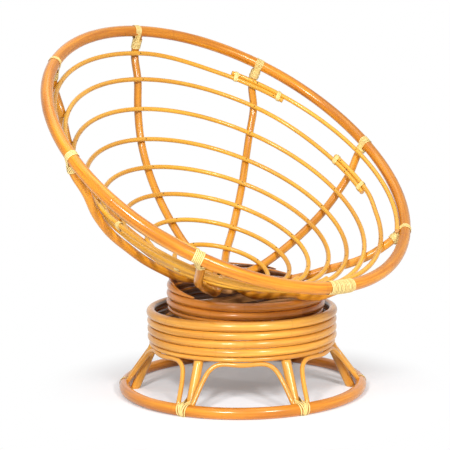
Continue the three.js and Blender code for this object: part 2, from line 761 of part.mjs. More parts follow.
// An arch rises from the floor ring beside one leg, runs under the drum and comes down by the next.
function archCurve(middle, half) {
  const topRadius = drumRadius;
  const topHeight = drumBottom - arch.topGap - arch.pole;
  const footAngle = half - arch.besideLeg;
  const slope = new THREE.Vector2(topRadius - floorRingRadius, topHeight - floorRing.pole).normalize();
  const stand = floorRing.pole + arch.footGap;
  const footRadius = floorRingRadius + slope.x * stand;
  const footHeight = floorRing.pole + slope.y * stand;
  const shoulderHeight = topHeight - (topHeight - footHeight) * archShoulderDropShare;
  const onCone = (height) => {
    const share = (topHeight - height) / (topHeight - footHeight);
    return topRadius + (footRadius - topRadius) * share;
  };
  const side = [
    { angle: footAngle, height: footHeight },
    { angle: footAngle * archShoulderShare, height: shoulderHeight },
    { angle: footAngle * archCornerShare, height: topHeight - arch.cornerDrop },
    { angle: footAngle * archFlatShare, height: topHeight },
  ];
  const places = side.map((place) => ({ ...place, angle: -place.angle }));
  places.push({ angle: 0, height: topHeight });
  places.push(...side.reverse());
  return new THREE.CatmullRomCurve3(places.map(({ angle, height }) => {
    const around = radians(middle + angle);
    const out = onCone(height);
    return new THREE.Vector3(out * Math.cos(around), out * Math.sin(around), height);
  }));
}

function buildArches() {
  legAngles.forEach((angle, i) => {
    const next = legAngles[(i + 1) % legAngles.length];
    const gap = (next - angle + 360) % 360;
    const curve = archCurve(angle + gap / 2, gap / 2);
    addPiece(base, `arch_${i + 1}`, bentPole(curve, arch.pole, arch.steps, arch.sides), 'rattan');
  });
}

buildRim();
buildHoops();
buildRibs();
buildHub();
buildLashings();
buildSeatRing();
buildSeatBars();
buildRockerPlate();
buildSwivelBracket();
buildPivotPin();
buildSprings();
buildBearing();
buildBasePlate();
buildBaseBars();
buildDrum();
buildFloorRing();
buildLegs();
buildArches();

// The origin goes to the middle of the chair's own box, on the floor.
chair.updateMatrixWorld(true);
const reach = new THREE.Box3().setFromObject(chair, true);
chair.position.y = -(reach.min.y + reach.max.y) / 2;
console.log(`swivel axis at y = ${chair.position.y.toFixed(3)} mm`);

export default chair;
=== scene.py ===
import json
import random
from math import asin, atan2, cos, degrees, pi, radians, sin

import bmesh
import bpy
import numpy as np
from mathutils import Matrix, Vector


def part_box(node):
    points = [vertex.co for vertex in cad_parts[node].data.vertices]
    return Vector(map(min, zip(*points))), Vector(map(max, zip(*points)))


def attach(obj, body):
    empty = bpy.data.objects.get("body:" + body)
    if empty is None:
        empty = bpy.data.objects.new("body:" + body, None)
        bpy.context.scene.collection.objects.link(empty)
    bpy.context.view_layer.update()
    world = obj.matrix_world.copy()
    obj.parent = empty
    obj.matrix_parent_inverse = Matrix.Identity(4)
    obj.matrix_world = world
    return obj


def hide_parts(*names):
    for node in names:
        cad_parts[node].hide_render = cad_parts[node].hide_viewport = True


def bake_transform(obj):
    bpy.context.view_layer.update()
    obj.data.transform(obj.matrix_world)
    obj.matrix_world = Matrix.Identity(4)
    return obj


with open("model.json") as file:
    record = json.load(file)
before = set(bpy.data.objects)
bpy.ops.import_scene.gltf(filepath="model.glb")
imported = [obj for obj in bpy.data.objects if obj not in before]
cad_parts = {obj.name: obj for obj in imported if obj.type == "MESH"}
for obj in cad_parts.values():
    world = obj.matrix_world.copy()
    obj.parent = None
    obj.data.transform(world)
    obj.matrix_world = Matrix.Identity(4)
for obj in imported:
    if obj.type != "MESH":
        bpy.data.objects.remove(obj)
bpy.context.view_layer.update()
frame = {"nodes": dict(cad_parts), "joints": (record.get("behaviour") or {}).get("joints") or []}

# Camera. It looks down a little on the chair through a long lens, from 3.3 m away.
# The chair stands turned away from it, so every place in front of it is given from the viewer's side.
swivel_axis = Vector(frame["joints"][0]["pos_m"])
swivel_axis.z = 0
view_turn = radians(-42.78)
camera_distance, camera_height = 3.2556, 0.835
camera_aside, camera_dip, camera_roll = 0.0134, 0.1145, 0.0137


def from_viewer(x, y, z):
    """A point x to the viewer's right of the swivel axis, y behind it and z above the floor."""
    return swivel_axis + Matrix.Rotation(view_turn, 3, "Z") @ Vector((x, y, z))


def new_object(name, data):
    thing = bpy.data.objects.new(name, data)
    bpy.context.scene.collection.objects.link(thing)
    return thing


camera = new_object("camera", bpy.data.cameras.new("camera"))
camera.data.lens = 94.42
camera.data.sensor_width = 36
camera.matrix_world = (
    Matrix.Translation(from_viewer(0, -camera_distance, camera_height))
    @ Matrix.Rotation(view_turn + camera_aside, 4, "Z")
    @ Matrix.Rotation(pi / 2 - camera_dip, 4, "X")
    @ Matrix.Rotation(-camera_roll, 4, "Z")
)
bpy.context.scene.camera = camera

# Floor ring. One thick rattan pole bent to a ring that lies on the floor, its joint left out.
# The base stands turned under the seat as it happened to be left.
base_turn = radians(-42.8)
floor_ring_radius = 0.331
floor_ring_pole = 0.0155


def base_point(radius, angle, height):
    """A point round the swivel axis, its angle counted on the turned base."""
    turned = radians(angle) + base_turn
    x, y = swivel_axis.x + radius * cos(turned), swivel_axis.y + radius * sin(turned)
    return Vector((x, y, height))


def base_outward(angle):
    """The way out from the swivel axis at an angle on the base."""
    return base_point(1, angle, 0) - base_point(0, angle, 0)


def base_circle(radius, height):
    return [base_point(radius, angle, height) for angle in range(360)]


def shade(code):
    """A colour code such as D98431 as the shader's own four numbers."""
    parts = [int(code[i:i + 2], 16) / 255 for i in (0, 2, 4)]
    return tuple(c / 12.92 if c < 0.04045 else ((c + 0.055) / 1.055) ** 2.4 for c in parts) + (1,)


def put(tree, kind, values=None, **settings):
    """Adds a shader node with its settings, and gives its sockets their values, colour codes or wires."""
    node = tree.nodes.new("ShaderNode" + kind)
    for name, setting in settings.items():
        setattr(node, name, setting)
    for socket, value in (values or {}).items():
        if isinstance(value, bpy.types.NodeSocket):
            tree.links.new(value, node.inputs[socket])
        else:
            node.inputs[socket].default_value = shade(value) if isinstance(value, str) else value
    return node


def blend_colours(tree, share, first, second):
    """Mixes two colours by a share from 0 to 1."""
    return put(tree, "Mix", {0: share, 6: first, 7: second}, data_type="RGBA").outputs[2]


def between(tree, value, low, high, to_low=0.0, to_high=1.0):
    """Spreads the part of a value between two limits over another range, smoothly."""
    values = {"Value": value, "From Min": low, "From Max": high, "To Min": to_low, "To Max": to_high}
    return put(tree, "MapRange", values, interpolation_type="SMOOTHSTEP").outputs["Result"]


def figure(tree, operation, *values):
    """The result of one sum, such as SINE or MULTIPLY."""
    return put(tree, "Math", dict(enumerate(values)), operation=operation).outputs[0]


def times(tree, first, second):
    return figure(tree, "MULTIPLY", first, second)


def noise(tree, place, scales, detail, roughness=0.5):
    """Noise over a place, with a scale of its own along each axis."""
    scaled = put(tree, "VectorMath", {0: place, 1: scales}, operation="MULTIPLY").outputs[0]
    values = {"Vector": scaled, "Scale": 1.0, "Detail": detail, "Roughness": roughness}
    return put(tree, "TexNoise", values).outputs["Fac"]


def new_effect(name, colours, amounts):
    """An empty shader group with named colours and amounts going in."""
    tree = bpy.data.node_groups.new(name, "ShaderNodeTree")
    inputs = [(label, "NodeSocketColor", shade(code)) for label, code in colours.items()]
    inputs += [(label, "NodeSocketFloat", value) for label, value in amounts.items()]
    for label, kind, value in inputs:
        tree.interface.new_socket(label, in_out="INPUT", socket_type=kind).default_value = value
    return tree, tree.nodes.new("NodeGroupInput").outputs


def end_effect(tree, colour, roughness, height):
    """Gives a shader group its three results."""
    results = {"Color": colour, "Roughness": roughness, "Height": height}
    for label in results:
        kind = "NodeSocketColor" if label == "Color" else "NodeSocketFloat"
        tree.interface.new_socket(label, in_out="OUTPUT", socket_type=kind)
    ends = tree.nodes.new("NodeGroupOutput").inputs
    for label, value in results.items():
        tree.links.new(value, ends[label])
    return tree


def pole_grain():
    """Rattan skin: soft streaks and fine fibres along the pole, broad tones, freckles and joint scars.
    A coil's inner side can be painted dark: painted shade for the shadowed inside of the ring."""
    colours = {"Pale": "F0B869", "Tan": "DE9440", "Brown": "9C5A22", "PaintedShade": "3A1A0A"}
    amounts = {"Streaks": 0.6, "Tones": 0.5, "Freckles": 0.5, "Inside": 0.0}
    tree, given = new_effect("pole_grain", colours, amounts)
    run = put(tree, "SeparateXYZ", {0: put(tree, "UVMap", uv_map="run").outputs[0]})
    turn = times(tree, run.outputs[0], 2 * pi)
    up, outward = figure(tree, "COSINE", turn), figure(tree, "SINE", turn)
    skin = put(tree, "CombineXYZ", {0: up, 1: outward, 2: run.outputs[1]}).outputs[0]
    tones = between(tree, noise(tree, skin, (0.7, 0.7, 3.1), 2.0), 0.32, 0.68)
    streaks = between(tree, noise(tree, skin, (3.0, 3.0, 6.5), 4.0, 0.6), 0.34, 0.66)
    fibres = between(tree, noise(tree, skin, (13.0, 13.0, 34.0), 3.0, 0.65), 0.3, 0.7)
    freckles = between(tree, noise(tree, skin, (9.0, 9.0, 210.0), 1.0), 0.70, 0.78)
    scar = put(tree, "Attribute", attribute_name="joint").outputs["Fac"]
    colour = blend_colours(tree, times(tree, streaks, given["Streaks"]), given["Pale"], given["Tan"])
    marks = {tones: given["Tones"], fibres: 0.16, freckles: given["Freckles"], scar: 0.2}
    for mark, strength in marks.items():
        colour = blend_colours(tree, times(tree, mark, strength), colour, given["Brown"])
    # Painted shade: the side of a coil facing into its ring is darkened towards the dark shade colour.
    inner = times(tree, between(tree, outward, -0.45, -0.85), given["Inside"])
    colour = blend_colours(tree, inner, colour, given["PaintedShade"])
    lift = figure(tree, "MULTIPLY_ADD", streaks, 0.35, fibres)
    sunk = figure(tree, "MULTIPLY_ADD", scar, -1.6, lift)
    return end_effect(tree, colour, between(tree, fibres, 0.0, 1.0, 0.26, 0.42), sunk)


def finish_of(name, effect, given, bump=0.12, **surface):
    """A material whose colour, roughness and relief come from one effect."""
    material = bpy.data.materials.new(name)
    material.use_nodes = True
    tree = material.node_tree
    shader = tree.nodes["Principled BSDF"]
    grain = put(tree, "Group", given, node_tree=effect)
    relief = put(tree, "Bump", {"Strength": bump, "Distance": 0.0002, "Height": grain.outputs["Height"]})
    tree.links.new(grain.outputs["Color"], shader.inputs["Base Color"])
    tree.links.new(grain.outputs["Roughness"], shader.inputs["Roughness"])
    tree.links.new(relief.outputs[0], shader.inputs["Normal"])
    for socket, value in surface.items():
        shader.inputs[socket.replace("_", " ")].default_value = value
    return material


def end_pores():
    """The cut end of a rattan pole: a pale face full of small dark pores, with a darker skin round it."""
    colours = {"Pale": "D9A766", "Dark": "6E4320"}
    tree, given = new_effect("end_pores", colours, {})
    place = put(tree, "UVMap", uv_map="run").outputs[0]
    pores = put(tree, "TexVoronoi", {"Vector": place, "Scale": 26.0}, feature="F1").outputs["Distance"]
    hole = between(tree, pores, 0.34, 0.16)
    middle = (0.5, 0.5, 0.0)
    from_middle = put(tree, "VectorMath", {0: place, 1: middle}, operation="DISTANCE").outputs["Value"]
    skin = between(tree, from_middle, 0.43, 0.5)
    stain = figure(tree, "MAXIMUM", hole, skin)
    colour = blend_colours(tree, stain, given["Pale"], given["Dark"])
    return end_effect(
        tree, colour, between(tree, stain, 0.0, 1.0, 0.55, 0.75), between(tree, hole, 0.0, 1.0, 1.0, 0.0))


rattan = pole_grain()
cut_end = finish_of("cut_rattan_end", end_pores(), {}, bump=0.5)


def lacquered(name, pale, tan, brown, **amounts):
    """Rattan in three browns of its own under a clear lacquer."""
    given = {"Pale": pale, "Tan": tan, "Brown": brown, **amounts}
    return finish_of(name, rattan, given, Coat_Weight=0.7, Coat_Roughness=0.19, Specular_IOR_Level=0.1)


floor_ring_skin = lacquered("floor_ring_rattan", "E99A2C", "D0761A", "864208", Tones=0.5)


def lengths_along(line):
    return np.concatenate([[0], np.cumsum(np.linalg.norm(np.diff(line, axis=0), axis=1))])


def unit(ways):
    """Directions brought to length 1."""
    return ways / np.maximum(np.linalg.norm(ways, axis=1), 1e-9)[:, None]


def at_lengths(line, run, places, closed=False):
    """Points and directions at given lengths along a line."""
    def look(values):
        values = values % run[-1] if closed else np.clip(values, 0, run[-1])
        return np.stack([np.interp(values, run, line[:, k]) for k in range(3)], 1)

    return look(places), unit(look(places + 0.002) - look(places - 0.002))


def sides_along(ways):
    """A side direction for every point of a line, carried along it without twisting."""
    start = np.array([0.0, 0.0, 1.0]) if abs(ways[0][2]) < 0.8 else np.array([1.0, 0.0, 0.0])
    sides = []
    for way in ways:
        start = start - way * start.dot(way)
        start = start / np.linalg.norm(start)
        sides.append(start)
    return np.array(sides)


def rings_round(points, first, second, girth, sides):
    """Rings of points round a line, given two directions square to it and its girth."""
    turns = 2 * pi * np.arange(sides) / sides
    ring = np.cos(turns)[:, None] * first[:, None] + np.sin(turns)[:, None] * second[:, None]
    return (points[:, None] + ring * np.array(girth)[..., None, None]).reshape(-1, 3)


def join_rings(first, count, shares, lengths, closed=False):
    """Faces between rings of points that follow each other, and where their corners lie on the skin:
    a share of the way round, which a plain number divides evenly, and a length along it."""
    if isinstance(shares, int):
        shares = [j / shares for j in range(shares + 1)]
    size = len(shares) - 1
    faces, corners = [], []
    for i in range(count if closed else count - 1):
        a, b = first + i * size, first + (i + 1) % count * size
        low, high = lengths[i], lengths[i + 1]
        for j in range(size):
            k = (j + 1) % size
            faces.append((a + j, a + k, b + k, b + j))
            corners += [(shares[j], low), (shares[j + 1], low), (shares[j + 1], high), (shares[j], high)]
    return faces, corners


def end_faces(first, count, size):
    """The two faces that close the ends of a row of rings."""
    last = first + (count - 1) * size
    return [tuple(range(first, first + size))[::-1], tuple(range(last, last + size))]


def place_piece(name, mesh, body, slot, *nodes):
    """Makes an object of a mesh and hides the CAD nodes it stands for.
    The body is the one it rides on; a piece given two bodies and two places rides on neither and stays where
    it is."""
    piece = new_object(name, mesh)
    if isinstance(body, tuple):
        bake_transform(piece)
    else:
        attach(piece, body)
    if nodes:
        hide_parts(*nodes)


def add_piece(name, points, faces, corners, finishes, body, slot, *nodes, ends=0, joint=None):
    """A piece of points, faces and their corners' places on its skin. Its last faces are cut ends."""
    mesh = bpy.data.meshes.new(name)
    mesh.from_pydata([tuple(p) for p in points], [], faces)
    smooth = [True] * (len(faces) - ends) + [False] * ends
    mesh.polygons.foreach_set("use_smooth", smooth)
    mesh.polygons.foreach_set("material_index", [0 if s else 1 for s in smooth])
    mesh.uv_layers.new(name="run").data.foreach_set("uv", np.array(corners, np.float32).ravel())
    if joint is not None:
        mesh.attributes.new("joint", "FLOAT", "POINT").data.foreach_set("value", np.array(joint, np.float32))
    for finish in finishes:
        mesh.materials.append(finish)
    mesh.update()
    place_piece(name, mesh, body, slot, *nodes)


first_joint, joint_spacing = (0.05, 0.3), (0.2, 0.36)
joint_steps = (-0.0085, -0.0045, -0.002, -0.0008, 0, 0.0008, 0.002, 0.0045, 0.0085)
joint_swell, swell_reach = 0.016, 0.006
joint_groove, groove_reach, scar_reach = 0.02, 0.0009, 0.0016
wave_lengths, wave_height = (0.9, 0.43, 0.27), 0.0028
ring_spacing, closest_rings = 0.009, 0.0003
end_step, end_easing, easing_reach = 0.0009, 0.07, 0.0004


def lay_pole(name, line, radius, skin, body, *nodes, closed=False, sides=18, level=None, jointed=True):
    """A rattan pole along a line, its joints a little swollen and scarred and its cut ends eased."""
    chance = random.Random(name)
    line = np.array([tuple(p) for p in line], float)
    if closed:
        line = np.concatenate([line, line[:1]])
    run = lengths_along(line)
    length = run[-1]
    joints = []
    spot = chance.uniform(*first_joint)
    while jointed and spot < length - 0.03:
        joints.append(spot)
        spot += chance.uniform(*joint_spacing)
    places = list(np.linspace(0, length, max(8, int(length / ring_spacing)) + 1))
    for spot in joints:
        places += [spot + step for step in joint_steps]
    if not closed:
        places += [end_step, length - end_step]
    places = np.array(sorted(p for p in places if 0 <= p <= length))
    places = places[np.diff(places, prepend=-1) > closest_rings]
    if closed:
        places = places[places < length - 0.0005]
    points, ways = at_lengths(line, run, places, closed)
    girth = np.interp(places / length, np.linspace(0, 1, np.size(radius)), np.atleast_1d(radius))
    waves = sum(np.sin(2 * pi * max(1, round(length / wave)) * places / length + chance.uniform(0, 6.3))
                for wave in wave_lengths)
    girth = girth * (0.983 + wave_height * waves)
    scar = np.zeros(len(places))
    for spot in joints:
        away = np.abs(places - spot)
        swell = joint_swell * np.exp(-(away / swell_reach) ** 2)
        girth = girth * (1 + swell - joint_groove * np.exp(-(away / groove_reach) ** 2))
        scar = np.maximum(scar, np.exp(-(away / scar_reach) ** 2))
    if not closed:
        girth = girth * (1 - end_easing * np.exp(-np.minimum(places, length - places) / easing_reach))
    if level:
        first, second = (np.tile(np.array(v), (len(places), 1)) for v in level)
    else:
        first = sides_along(ways)
        second = np.cross(ways, first)
    skin_points = rings_round(points, first, second, girth, sides)
    lengths = np.append(places, length) + chance.uniform(0, 30)
    faces, corners = join_rings(0, len(places), sides, lengths, closed)
    if not closed:
        turns = 2 * pi * np.arange(sides) / sides
        round_face = [(0.5 + 0.5 * cos(t), 0.5 + 0.5 * sin(t)) for t in turns]
        faces += end_faces(0, len(places), sides)
        corners += round_face[::-1] + round_face
    add_piece(name, skin_points, faces, corners, [skin, cut_end], body, "rattan", *nodes,
              ends=0 if closed else 2, joint=np.repeat(scar, sides))


lay_pole("floor_ring_pole", base_circle(floor_ring_radius, floor_ring_pole), floor_ring_pole, floor_ring_skin,
         "base", "floor_ring", closed=True, sides=24)

# Legs. Six short thick poles that lean outwards from under the drum to the inside of the floor ring.
# Each is sawn level at its foot and at its top, and nailed and tied to the ring.
leg_pole = 0.013
leg_spread = 27.5
leg_angles = [-90 - leg_spread, -90 + leg_spread, 0, 90 - leg_spread, 90 + leg_spread, 180]
leg_foot_radius = floor_ring_radius - 0.027
drum_radius = 0.2537
leg_top_radius = drum_radius - 0.0082
drum_bottom = 0.1304
clear_gap = 0.0003
base_skin = lacquered("base_rattan", "F2B54C", "DB9030", "965010", Tones=0.45)

for number, angle in enumerate(leg_angles, 1):
    foot = base_point(leg_foot_radius, angle, 0)
    top = base_point(leg_top_radius, angle, drum_bottom - clear_gap)
    outward = base_outward(angle).normalized()
    lean = atan2(leg_foot_radius - leg_top_radius, top.z)
    level = (outward / cos(lean), Vector((0, 0, 1)).cross(outward))
    lay_pole(f"leg_pole_{number}", [foot, top], leg_pole, base_skin, "base", f"leg_{number}", level=level)

# Arches. Thin rattan poles bent under the drum between each two legs, down to the floor ring.
# They are heated to bend them, and nailed to the legs, the drum and the ring.
arch_pole = 0.0065
arch_flat_share, arch_corner_share, arch_shoulder_share = 0.6, 0.79, 0.9
arch_corner_drop, arch_shoulder_drop = 0.013, 0.42
arch_below_drum = 0.0018
arch_sunk = 0.001
arch_beside_leg = 3.7


def bend_through(points, steps=24):
    """A smooth bend through given points, as a pole takes it."""
    points = [np.array(tuple(p), float) for p in points]
    points = [2 * points[0] - points[1], *points, 2 * points[-1] - points[-2]]
    line = []
    for a, b, c, d in zip(points, points[1:], points[2:], points[3:]):
        first, middle, last = (max(np.linalg.norm(q - p), 1e-9) ** 0.5 for p, q in ((a, b), (b, c), (c, d)))
        leaving = ((b - a) / first - (c - a) / (first + middle) + (c - b) / middle) * middle
        coming = ((c - b) / middle - (d - b) / (middle + last) + (d - c) / last) * middle
        for step in range(steps):
            t = step / steps
            line.append(b + leaving * t + (3 * (c - b) - 2 * leaving - coming) * t * t
                        + (2 * (b - c) + leaving + coming) * t ** 3)
    line.append(points[-2])
    return np.array(line)


def arch_line(middle, half):
    """The line of an arch whose legs stand half an angle to each side of its middle."""
    top = drum_bottom - arch_below_drum - arch_pole
    foot_angle = half - arch_beside_leg
    slope = Vector((drum_radius - floor_ring_radius, top - floor_ring_pole)).normalized()
    foot_radius = floor_ring_radius + slope.x * (floor_ring_pole - arch_sunk)
    foot = floor_ring_pole + slope.y * (floor_ring_pole - arch_sunk)
    places = [(1, foot), (arch_shoulder_share, top - (top - foot) * arch_shoulder_drop),
              (arch_corner_share, top - arch_corner_drop), (arch_flat_share, top)]
    both = [(-share, height) for share, height in places] + [(0, top)] + places[::-1]
    return bend_through([
        base_point(drum_radius + (foot_radius - drum_radius) * (top - height) / (top - foot),
                   middle + share * foot_angle, height)
        for share, height in both])


for number, angle in enumerate(leg_angles, 1):
    gap = (leg_angles[number % 6] - angle) % 360
    lay_pole(f"arch_pole_{number}", arch_line(angle + gap / 2, gap / 2), arch_pole, base_skin, "base",
             f"arch_{number}", sides=14)

# Drum. Five rattan poles bent to rings and stacked: a thick one on top, three alike and a thin one below.
# They are nailed to each other and to the legs, and the ends of each ring meet. Their inner sides are painted
# dark as painted shade.
coil_poles = [0.0128, 0.011, 0.011, 0.011, 0.0065]
coil_heights = [0.2234, 0.1993, 0.1770, 0.1547, 0.1369]
# The drum's rattan has painted shade on the inner side of each coil.
drum_skin = lacquered("drum_rattan", "F2B54C", "DB9030", "965010", Tones=0.45, Inside=0.9)

for number, (pole, height) in enumerate(zip(coil_poles, coil_heights), 1):
    lay_pole(f"drum_pole_{number}", base_circle(drum_radius, height), pole, drum_skin, "base",
             f"drum_coil_{number}", closed=True, sides=20)

# Base bars and base plate. Two flat timber bars are screwed across the inside of the drum.
# A square of black steel sheet is screwed on them and carries the bearing.


def wood_grain():
    """Sawn hardwood: long darker lines along the board and fine pores."""
    colours = {"Pale": "C08A52", "Dark": "7A4B24"}
    tree, given = new_effect("wood_grain", colours, {"Turn": 0.0})
    place = put(tree, "TexCoord").outputs["Object"]
    values = {"Vector": place, "Angle": given["Turn"]}
    turned = put(tree, "VectorRotate", values, rotation_type="Z_AXIS").outputs[0]
    lines = noise(tree, turned, (6.0, 95.0, 95.0), 5.0, 0.6)
    pores = noise(tree, turned, (70.0, 900.0, 900.0), 2.0)
    dark = times(tree, between(tree, lines, 0.35, 0.65), 0.6)
    fine = times(tree, between(tree, pores, 0.55, 0.7), 0.4)
    colour = blend_colours(tree, dark, given["Pale"], given["Dark"])
    colour = blend_colours(tree, fine, colour, given["Dark"])
    return end_effect(
        tree, colour, between(tree, lines, 0.2, 0.8, 0.5, 0.72), between(tree, pores, 0.4, 0.7, 1.0, 0.0))


def metal_wear():
    """Sheet or drawn metal: faint mottling with finer scuffs, both in the colour and in the gloss."""
    colours = {"Clean": "1E1C1B", "Worn": "3A3633"}
    tree, given = new_effect("metal_wear", colours, {"Gloss": 0.4, "Scuffs": 0.5})
    place = put(tree, "TexCoord").outputs["Object"]
    mottle = noise(tree, place, (40.0, 40.0, 40.0), 4.0)
    scuffs = noise(tree, place, (1600.0, 220.0, 420.0), 2.0)
    marks = times(tree, between(tree, scuffs, 0.6, 0.72), given["Scuffs"])
    colour = blend_colours(tree, between(tree, mottle, 0.4, 0.65), given["Clean"], given["Worn"])
    colour = blend_colours(tree, marks, colour, given["Worn"])
    return end_effect(tree, colour, figure(tree, "MULTIPLY_ADD", mottle, 0.25, given["Gloss"]), mottle)


timber = wood_grain()
base_timber = finish_of("base_bar_timber", timber, {"Turn": -base_turn}, bump=0.4, Specular_IOR_Level=0.3)
steel = metal_wear()
black_steel = finish_of("black_steel", steel, {}, bump=0.15, Metallic=0.5)
shiny = {"Clean": "A9ABAE", "Worn": "77797C", "Gloss": 0.22}
bright_steel = finish_of("bright_steel", steel, shiny, bump=0.1, Metallic=1.0)


edge_widths = {"timber": 0.0018, "black_steel": 0.0006}


def ease_edges(node, name, finish, body, slot):
    """A copy of a flat CAD piece with its sharp edges eased, as they are on the real one."""
    shape = bmesh.new()
    shape.from_mesh(frame["nodes"][node].data)
    bmesh.ops.remove_doubles(shape, verts=shape.verts, dist=0.00002)
    bmesh.ops.dissolve_limit(shape, angle_limit=0.01, verts=shape.verts, edges=shape.edges)
    sharp = [e for e in shape.edges if len(e.link_faces) == 2 and e.calc_face_angle(0) > 0.5]
    bmesh.ops.bevel(shape, geom=sharp, offset=edge_widths[slot], segments=2, affect="EDGES",
                    profile=0.5, clamp_overlap=True)
    mesh = bpy.data.meshes.new(name)
    shape.to_mesh(mesh)
    shape.free()
    mesh.materials.append(finish)
    place_piece(name, mesh, body, slot, node)


for number in (1, 2):
    ease_edges(f"base_bar_{number}", f"base_bar_board_{number}", base_timber, "base", "timber")
ease_edges("base_plate", "base_plate_sheet", black_steel, "base", "black_steel")


def turn_profiles(name, profiles, finish, body, slot, *nodes, sides):
    """Round pieces turned about axes of their own: a frame for each, and its radius at each height."""
    points, faces, corners = [], [], []
    for place, profile in profiles:
        more_faces, more_corners = join_rings(len(points), len(profile), sides, range(len(profile)))
        faces += more_faces
        corners += more_corners
        for radius, height in profile:
            for j in range(sides):
                t = 2 * pi * j / sides
                points.append(place @ Vector((radius * cos(t), radius * sin(t), height)))
    add_piece(name, points, faces, corners, [finish], body, slot, *nodes)


def standing(place, way=(0, 0, 1)):
    """A frame at a place whose height runs along a given way."""
    return Matrix.Translation(place) @ Vector((0, 0, 1)).rotation_difference(Vector(way)).to_matrix().to_4x4()


plate_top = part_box("base_plate")[1].z
screw_radius = 0.0042
screw_head = [(screw_radius, 0), (screw_radius, 0.0006), (0.86 * screw_radius, 0.0014),
              (0.5 * screw_radius, 0.0018), (0.45 * screw_radius, 0.0009), (0, 0.0009)]
screws = []
for along_bar in (-0.063, 0.063):
    for to_bar in (-0.05, 0.05):
        corner = Matrix.Rotation(base_turn, 3, "Z") @ Vector((along_bar, to_bar, plate_top - 0.0001))
        screws.append((standing(swivel_axis + corner), screw_head))
turn_profiles("base_plate_screws", screws, bright_steel, "base", "bright_steel", sides=14)

# Bearing. A flat steel ring of balls between two pressed races, between the base plate and the bracket.
# The whole seat turns on it.
bearing_low, bearing_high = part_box("swivel_bearing")
bearing_height = bearing_high.z - bearing_low.z
bearing_profile = [
    (0.0440, 0.0003), (0.0440, 0.0024), (0.0446, 0.0029), (0.0440, 0.0034), (0.0440, bearing_height - 0.0004),
    (0.0444, bearing_height), (0.0616, bearing_height), (0.0620, bearing_height - 0.0005), (0.0620, 0.0036),
    (0.0611, 0.0031), (0.0611, 0.0028), (0.0620, 0.0023), (0.0620, 0.0005), (0.0616, 0.0), (0.0443, 0.0),
    (0.0440, 0.0003)]
turn_profiles("bearing_races", [(standing(Vector((*swivel_axis.xy, bearing_low.z))), bearing_profile)],
              bright_steel, "base", "bright_steel", "swivel_bearing", sides=64)

# Swivel bracket, pivot pin and springs. A bent black steel plate with two cheeks turns on the bearing.
# The pin goes through the cheeks. Two coil springs hold the seat level, and bend with it as it rocks.
ease_edges("swivel_bracket", "bracket_sheet", black_steel, "swivel", "black_steel")
pin_low, pin_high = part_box("pivot_pin")
pin_middle = (pin_low + pin_high) / 2
pin_end = pin_high.x - pin_middle.x
pin_shank = pin_end - 0.003
half_pin = [(0.006, pin_shank), (0.0086, pin_shank), (0.009, pin_shank + 0.0005), (0.009, pin_end - 0.0012),
            (0.0078, pin_end), (0.0, pin_end)]
pin_profile = [(radius, -height) for radius, height in half_pin[::-1]] + half_pin
turn_profiles("pivot_pin_bar", [(standing(pin_middle, (1, 0, 0)), pin_profile)],
              bright_steel, "swivel", "bright_steel", "pivot_pin", sides=32)


def lay_wire(name, line, radius, body, node, sides=10):
    """A round steel wire along a line."""
    run = lengths_along(line)
    points, ways = at_lengths(line, run, run)
    first = sides_along(ways)
    skin_points = rings_round(points, first, np.cross(ways, first), radius, sides)
    faces, corners = join_rings(0, len(run), sides, run)
    faces += end_faces(0, len(run), sides)
    corners += [(0.5, 0)] * sides + [(0.5, run[-1])] * sides
    add_piece(name, skin_points, faces, corners, [bright_steel] * 2, body, "bright_steel", node, ends=2)


spring_wire, spring_radius, spring_turns = 0.002, 0.014, 5
for side in ("front", "back"):
    low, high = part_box(f"spring_{side}")
    middle = (low + high) / 2
    coil = []
    for share in np.linspace(0, 1, 24 * spring_turns + 1):
        turn = 2 * pi * spring_turns * share
        height = low.z + spring_wire + (high.z - low.z - 2 * spring_wire) * share
        coil.append((spring_radius * cos(turn), middle.y + spring_radius * sin(turn), height))
    ends = [(0, middle.y, height) for height in (low.z + 2 * spring_wire, high.z - 2 * spring_wire)]
    lay_wire(f"spring_wire_{side}", np.array(coil), spring_wire, ("swivel", "seat", *ends), f"spring_{side}")

# Rocker plate and seat bars. The black steel plate hangs on the pin by two lugs and carries two timber bars.
# The bars are screwed across the inside of the seat ring.
seat_timber = finish_of("seat_bar_timber", timber, {}, bump=0.4, Specular_IOR_Level=0.3)
ease_edges("rocker_plate", "rocker_sheet", black_steel, "seat", "black_steel")
for side in ("front", "back"):
    ease_edges(f"seat_bar_{side}", f"seat_bar_board_{side}", seat_timber, "seat", "timber")

# Seat ring. Three coils, two thick and one thin, with two tapered ones on them that fill up the back.
# The tapered poles are shaved thinner towards the front, and all are nailed together.
pivot_height = 0.207
nod = radians(1.8)
seat_ring_radius = drum_radius - 0.0447
seat_ring_forward = 0.015
seat_pole = 0.0115
coils = [(0.0663, seat_pole, 0), (0.0430, seat_pole, 0), (0.0250, 0.0062, 0.002)]
wedge_tip, wedge_full = 0.0022, 0.0104
wedge_angles = [(84, 116), (112, 162)]
# The seat ring's rattan has painted shade on the inner side of each coil.
seat_skin = lacquered("seat_ring_rattan", "E39536", "C87420", "8A450E", Tones=0.5, Inside=0.9)


def seat_circle_point(height, angle, step_out=0.0):
    """A point of the ring. Its height is counted from the pivot, on which the ring nods forward a little."""
    radius = seat_ring_radius + step_out
    aside, ahead = radius * sin(radians(angle)), -seat_ring_forward - radius * cos(radians(angle))
    pivot = Vector((*swivel_axis.xy, pivot_height))
    return pivot + Matrix.Rotation(nod, 3, "X") @ Vector((aside, ahead, height))


for number, (height, pole, step_out) in enumerate(coils, 1):
    line = [seat_circle_point(height, angle, step_out) for angle in range(0, 360, 2)]
    lay_pole(f"seat_pole_{number}", line, pole, seat_skin, "seat", f"seat_coil_{number}",
             closed=True, sides=20)


